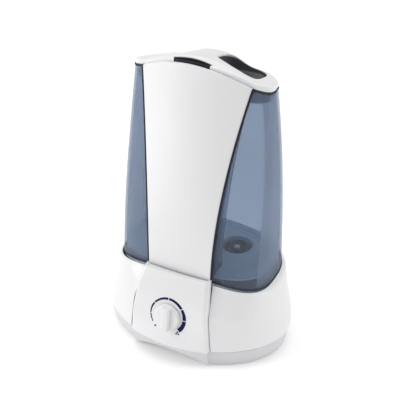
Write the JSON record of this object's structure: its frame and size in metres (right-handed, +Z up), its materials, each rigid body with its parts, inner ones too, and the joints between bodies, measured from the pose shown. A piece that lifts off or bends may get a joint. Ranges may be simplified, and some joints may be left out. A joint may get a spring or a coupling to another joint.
{
  "type": "ultrasonic humidifier",
  "caption": "Tall cool mist humidifier: a white base with a round dial, and a lift-off smoky blue water tank with a white front fascia and a saddle-shaped cap.",
  "frame": {"origin": "on the ground under the middle of the object's bounding box", "axes": "+Z up, -Y out of the front with the dial, +X to the viewer's right when facing the front"},
  "size_m": [0.2216, 0.1702, 0.341],
  "materials": {
    "shell": "glossy white moulding",
    "cover": "satin white moulding",
    "inner_white": "matt white moulding",
    "tank": "clear smoky blue moulding",
    "tank_base": "milky smoky blue moulding",
    "recess_tint": "dark smoky moulding",
    "dark_trim": "matt black moulding",
    "ink": "printed navy ink",
    "cap_blue": "glossy navy moulding",
    "rubber_black": "matt black rubber",
    "steel": "zinc plated",
    "brass": "plain",
    "board": "green lacquered laminate",
    "foam": "closed-cell foam",
    "magnet": "sintered ferrite",
    "copper": "enamelled wire",
    "iron": "varnished laminations",
    "alloy": "plain",
    "sleeve": "shrink sleeve"
  },
  "bodies": {
    "base": {"base_housing": "shell", "front_panel": "shell", "bottom_cover": "cover", "water_basin": "inner_white", "valve_post": "inner_white", "float_post": "inner_white", "cord_gland": "dark_trim", "float_clip": "dark_trim", "fan_frame": "dark_trim", "dial_scale": "ink", "feet": "rubber_black", "transducer_seal": "rubber_black", "base_screws": "steel", "panel_screws": "steel", "basin_screws": "steel", "transducer_screws": "steel", "fan_screws": "steel", "transformer_screws": "steel", "board_screws": "steel", "potentiometer": "steel", "potentiometer_nut": "brass", "transducer_disc": "brass", "control_board": "board", "driver_board": "board", "reed_switch": "board", "air_filter": "foam", "fan_stator": "copper", "transformer": "iron", "transducer_retainer": "alloy", "heat_sink": "alloy", "capacitors": "sleeve"},
    "tank": {"tank_body": "tank", "tank_floor": "tank_base", "tank_roof": "tank", "front_fascia": "shell", "fascia_seal": "dark_trim", "rim_seal": "rubber_black", "cap_seal": "rubber_black", "top_cap": "shell", "hand_recess": "recess_tint", "mist_nozzle": "dark_trim"},
    "cap": {"tank_cap": "cap_blue", "cap_gasket": "rubber_black", "valve_cage": "dark_trim", "valve_spring": "steel"},
    "valve": {"valve_plunger": "inner_white", "valve_seal": "rubber_black"},
    "dial": {"dial_knob": "shell"},
    "float": {"float": "foam", "float_magnet": "magnet"},
    "fan": {"fan_rotor": "dark_trim"}
  },
  "joints": [
    {"name": "tank_lift", "type": "slide", "parent": "base", "child": "tank", "axis": [0, 0, 1], "range_m": [0, 0.15]},
    {"name": "cap_turn", "type": "hinge", "parent": "tank", "child": "cap", "pos_m": [0.038, 0.0232, 0.092], "axis": [0, 0, 1], "range_deg": [-270, 0]},
    {"name": "valve_push", "type": "slide", "parent": "cap", "child": "valve", "axis": [0, 0, 1], "range_m": [0, 0.004], "stiffness_N_per_m": 120, "springref_m": -0.004, "deforming": ["valve_spring"]},
    {"name": "dial_turn", "type": "hinge", "parent": "base", "child": "dial", "pos_m": [0, -0.0721, 0.06], "axis": [0, -0.9836, 0.1805], "range_deg": [-135, 135]},
    {"name": "float_rise", "type": "slide", "parent": "base", "child": "float", "axis": [0, 0, 1], "range_m": [0, 0.012]},
    {"name": "fan_spin", "type": "hinge", "parent": "base", "child": "fan", "pos_m": [-0.05, 0.0152, 0.04], "axis": [0, 0, 1], "continuous": true}
  ]
}
